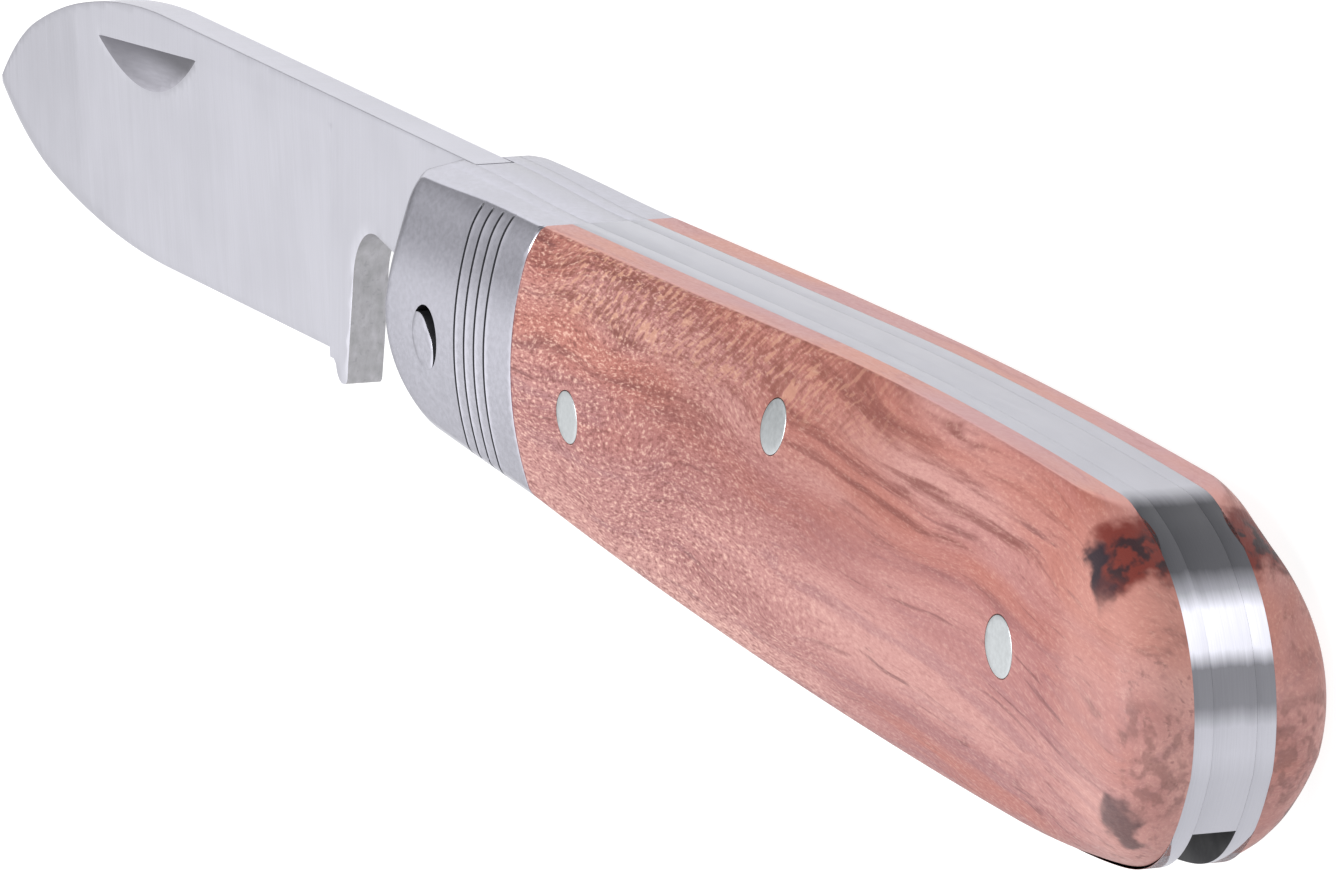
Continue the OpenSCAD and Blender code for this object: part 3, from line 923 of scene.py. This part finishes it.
def spine_path():
    """From the tang along the spine and round the nose to the tip."""
    bend = (SPINE_BEND_X, SPINE_Y - SPINE_R)
    px, py = polar(SPINE_R - NOSE_R, 90 + SPINE_TURN)
    nose = (bend[0] + px, bend[1] + py)
    end = 90 + math.degrees(math.acos((TIP_Y - nose[1]) / NOSE_R))
    straight = resample(np.array([(TANG_FRONT_X, HUMP_Y), (SPINE_BEND_X, SPINE_Y)]), 0.6)
    return join(straight, arc(bend, SPINE_R, 90, 90 + SPINE_TURN), arc(nose, NOSE_R, 90 + SPINE_TURN, end))


def edge_path():
    """From the tip round the chin and along the edge to the kick."""
    bend = (EDGE_BEND_X, EDGE_R - EDGE_DROP)
    px, py = polar(EDGE_R - CHIN_R, 270 - EDGE_TURN)
    chin = (bend[0] + px, bend[1] + py)
    start = 270 - math.degrees(math.acos((chin[1] - TIP_Y) / CHIN_R))
    straight = resample(np.array([(EDGE_BEND_X, -EDGE_DROP), (KICK_START_X, -EDGE_DROP)]), 0.6)
    return join(arc(chin, CHIN_R, start, 270 - EDGE_TURN), arc(bend, EDGE_R, 270 - EDGE_TURN, 270), straight)


def tang_path():
    """Round the kick and the notch, then the tang's flat for shut, its corner and its flat for open."""
    corner = np.add(polar(TANG_FLAT, SHUT_ANGLE), polar(SHUT_FLAT_L, SHUT_ANGLE - 90))
    return join(arc(KICK_FRONT, KICK_FRONT_R, 190, 262, 0.15), arc(KICK_BACK, KICK_BACK_R, 272, 350, 0.12),
                arc(NOTCH_FRONT, NOTCH_R, 172, 82, 0.3), arc(NOTCH_BACK, NOTCH_R, 72, 40, 0.3), [corner],
                arc((0, 0), TANG_R, SHUT_ANGLE + TANG_CORNER, 90 - TANG_CORNER), [(TANG_FRONT_X, TANG_FLAT)])


def nick_frame(x, y):
    """Distances along the nick and down from its upper edge."""
    turn = math.radians(NICK_TURN)
    dx, dy = x - NICK[0], y - NICK[1]
    along = dx * math.cos(turn) + dy * math.sin(turn)
    down = dx * math.sin(turn) - dy * math.cos(turn)
    return along, down


def nick_depth(x, y):
    """Depth of the nick: deepest at the middle of its upper edge."""
    along, down = nick_frame(x, y)
    share = 1 - (2 * along / NICK_L) ** 2 - down / NICK_H
    return np.where(down >= -0.01, np.clip(share, 0, None), 0) * NICK_DEPTH


def nick_lines():
    """The upper edge of the nick, twice for a steep wall, and its curved lower edge."""
    turn = math.radians(NICK_TURN)
    axis, drop = np.array([math.cos(turn), math.sin(turn)]), np.array([math.sin(turn), -math.cos(turn)])
    along = np.linspace(-NICK_L / 2, NICK_L / 2, 60)
    base = np.array(NICK) + along[:, None] * axis
    low = base + ((1 - (2 * along / NICK_L) ** 2) * NICK_H)[:, None] * drop
    return [base - 0.05 * drop, base, low]


def blade():
    """The blade: a flat grind below the spine, a thinner nose, an edge bevel, the plunge and the nick."""
    spine, edge, tang = spine_path(), edge_path(), tang_path()
    loop = join(spine, edge, tang)
    if np.linalg.norm(loop[0] - loop[-1]) < 0.01:
        loop = loop[:-1]
    spine_rim = Rim(spine, np.full(len(spine), SPINE_EDGE_R))
    tang_rim = Rim(tang, np.full(len(tang), TANG_EDGE_R))

    def half(x, y):
        at = np.column_stack([x, y])
        ground = np.minimum(BLADE_HALF, PRIMARY_EDGE_HALF + GRIND_SLOPE * (y + EDGE_DROP))
        ground = ground * (1 - TAPER * np.clip((TAPER_X - x) / (TAPER_X - TIP_X), 0, 1))
        ground = np.minimum(ground, EDGE_HALF + EDGE_SLOPE * nearest(at, edge)[0])
        body = ground + (BLADE_HALF - ground) * smoothstep(PLUNGE_FROM_X, PLUNGE_TO_X, x)
        body = body - np.minimum(spine_rim.drop(at), body * 0.3) - np.minimum(tang_rim.drop(at), body * 0.3)
        return np.maximum(body, EDGE_HALF)

    def marked(x, y):
        return np.maximum(half(x, y) - nick_depth(x, y), -BLADE_HALF / 2)

    def plain(x, y):
        return -half(x, y)

    inward = np.gradient(edge, axis=0)
    inward /= np.linalg.norm(inward, axis=1)[:, None]
    inward = np.column_stack([-inward[:, 1], inward[:, 0]])
    bevel = (edge + inward * EDGE_BEVEL)[2:-2]
    lines = spine_rim.rings(3) + [bevel] + nick_lines()
    lines.append(resample(np.array([(GRIND_FROM_X, GRIND_TOP_Y), (PLUNGE_TO_X, GRIND_TOP_Y)]), 0.8))
    lines += [upright(x, -6.1, GRIND_TOP_Y - 0.05, 0.5) for x in (PLUNGE_FROM_X, PLUNGE_TO_X)]
    lines.append(upright(TAPER_X, -4.5, 7.5, 0.6))
    piece = relief("satin_blade", blade_steel, [loop], lines, BLADE_MESH, marked, plain, crease=25)
    second_finish(piece, raw_steel, lambda normal, centre:
                  abs(normal.z) < 0.3 and centre.x > KICK_START_X and centre.y < 4)
    # The nick's faces get the steel with painted shade
    second_finish(piece, nick_steel_painted_shade, lambda normal, centre:
                  centre.z > MID and nick_depth(*centre[:2]) > 0.002)
    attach(piece, "blade")
    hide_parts("blade")
    return piece


blade()

# ---- Stage, light and camera ---------------------------------------------------------------
VIEW_RISE, VIEW_TURN, VIEW_ROLL = (math.radians(a) for a in (11.36, 22.997, -0.637))
VIEW_AIM, VIEW_DISTANCE = np.array([17.294, -3.614, 3.882]), 634.94
LENS, SENSOR, CLIP_NEAR, CLIP_FAR = 293.56, 36, 0.01, 20
LAMP_PLACE, LAMP_AIM, LAMP_SIZE, LAMP_POWER = (0.1, 0.2, 0.9), (0.02, 0, 0), 0.7, 9
FLOOR_GLOW, FLOOR_SHADE, FLOOR_REACH, FLOOR_GAP = 0.9, 0.2, 3.0, 0.0001

# Brightness of the studio's walls, by the angle from +X towards +Y in degrees
WALLS = [(0, 0.6), (4, 0.45), (20, 0.45), (30, 1.3), (52, 1.6), (66, 0.8), (84, 0.3), (100, 0.2),
         (135, 0.2), (155, 0.6), (166, 0.62), (176, 0.5), (180, 0.42), (186, 0.95), (192, 1.0),
         (203, 1.3), (225, 1.1), (345, 1.0), (357, 0.6)]
WALL_TOP = 1.6
CEILING, CEILING_FROM, CEILING_TO = 1.0, 0.5, 0.85
LOW_FROM, LOW_TO, LOW_LEVEL, HIGH_LEVEL = 0.3, 0.45, 0.7, 1.25


def camera():
    """A long lens that looks at the knife from behind its butt, a little above its left side."""
    towards = np.array([math.cos(VIEW_RISE) * math.cos(VIEW_TURN), math.sin(VIEW_RISE),
                        math.cos(VIEW_RISE) * math.sin(VIEW_TURN)])
    right = np.array([math.sin(VIEW_TURN), 0, -math.cos(VIEW_TURN)])
    up = np.cross(towards, right)
    across = math.cos(VIEW_ROLL) * right - math.sin(VIEW_ROLL) * up
    upward = math.sin(VIEW_ROLL) * right + math.cos(VIEW_ROLL) * up
    data = bpy.data.cameras.new("camera")
    data.lens, data.sensor_width, data.sensor_fit = LENS, SENSOR, "HORIZONTAL"
    data.clip_start, data.clip_end = CLIP_NEAR, CLIP_FAR
    view = bpy.data.objects.new("camera", data)
    place = (VIEW_AIM + VIEW_DISTANCE * towards) * MM
    rows = [[across[i], upward[i], towards[i], place[i]] for i in range(3)]
    view.matrix_world = Matrix(rows + [[0, 0, 0, 1]])
    bpy.context.scene.collection.objects.link(view)
    bpy.context.scene.camera = view


def area_light(name, place, aim, size, power):
    """A round soft light."""
    data = bpy.data.lights.new(name, "AREA")
    data.shape, data.size, data.energy = "DISK", size, power
    lamp = bpy.data.objects.new(name, data)
    lamp.location = place
    lamp.rotation_euler = (Vector(aim) - Vector(place)).to_track_quat("-Z", "Y").to_euler()
    bpy.context.scene.collection.objects.link(lamp)


def floor():
    """A white light table: mostly lit from below, so it stays pale under the knife."""
    far = FLOOR_REACH
    mesh = bpy.data.meshes.new("floor")
    mesh.from_pydata([(-far, -far, 0), (far, -far, 0), (far, far, 0), (-far, far, 0)], [], [(0, 1, 2, 3)])
    s = Shader("pale_floor")
    cloud = s.noise((250, 250, 250))
    shade = s.ramp(cloud, [(0, FLOOR_SHADE), (1, FLOOR_SHADE * 1.04)])
    mesh.materials.append(s.surface(colour=shade, rough=0.8))
    s.bsdf.inputs["Emission Color"].default_value = (1, 1, 1, 1)
    s.bsdf.inputs["Emission Strength"].default_value = FLOOR_GLOW
    plane = bpy.data.objects.new("floor", mesh)
    plane.location.z = -FLOOR_GAP
    bpy.context.scene.collection.objects.link(plane)


def world():
    """Soft studio walls of uneven brightness under an even ceiling, darker near the floor."""
    scene = bpy.context.scene
    scene.world = bpy.data.worlds.new("studio")
    scene.world.use_nodes = True
    tree = scene.world.node_tree

    def node(kind, *inputs, **settings):
        made = tree.nodes.new("ShaderNode" + kind)
        for key, value in settings.items():
            setattr(made, key, value)
        for i, value in enumerate(inputs):
            if isinstance(value, bpy.types.NodeSocket):
                tree.links.new(value, made.inputs[i])
            else:
                made.inputs[i].default_value = value
        return made

    x, y, z = node("SeparateXYZ", node("TexCoord").outputs["Generated"]).outputs
    angle = node("Math", y, x, operation="ARCTAN2").outputs[0]
    turns = node("Math", angle, math.tau, operation="DIVIDE").outputs[0]
    turn = node("Math", turns, operation="FRACT").outputs[0]
    walls = node("ValToRGB", turn)
    elements = walls.color_ramp.elements
    while len(elements) < len(WALLS):
        elements.new(0.5)
    for element, (at, level) in zip(elements, WALLS):
        element.position = at / 360
        element.color = (*[level / WALL_TOP] * 3, 1)
    low = node("VectorMath", walls.outputs["Color"], operation="SCALE")
    low.inputs["Scale"].default_value = WALL_TOP
    smooth = {"interpolation_type": "SMOOTHSTEP"}
    rise = node("MapRange", z, CEILING_FROM, CEILING_TO, **smooth).outputs[0]
    skirt = node("MapRange", z, LOW_FROM, LOW_TO, LOW_LEVEL, HIGH_LEVEL, **smooth).outputs[0]
    shaded = node("VectorMath", low.outputs["Vector"], operation="SCALE")
    tree.links.new(skirt, shaded.inputs["Scale"])
    mixed = node("Mix", rise, data_type="RGBA")
    tree.links.new(shaded.outputs["Vector"], mixed.inputs[6])
    mixed.inputs[7].default_value = (CEILING, CEILING, CEILING, 1)
    tree.links.new(mixed.outputs[2], tree.nodes["Background"].inputs["Color"])
    scene.view_settings.view_transform = "Standard"


camera()
floor()
world()
area_light("overhead", LAMP_PLACE, LAMP_AIM, LAMP_SIZE, LAMP_POWER)
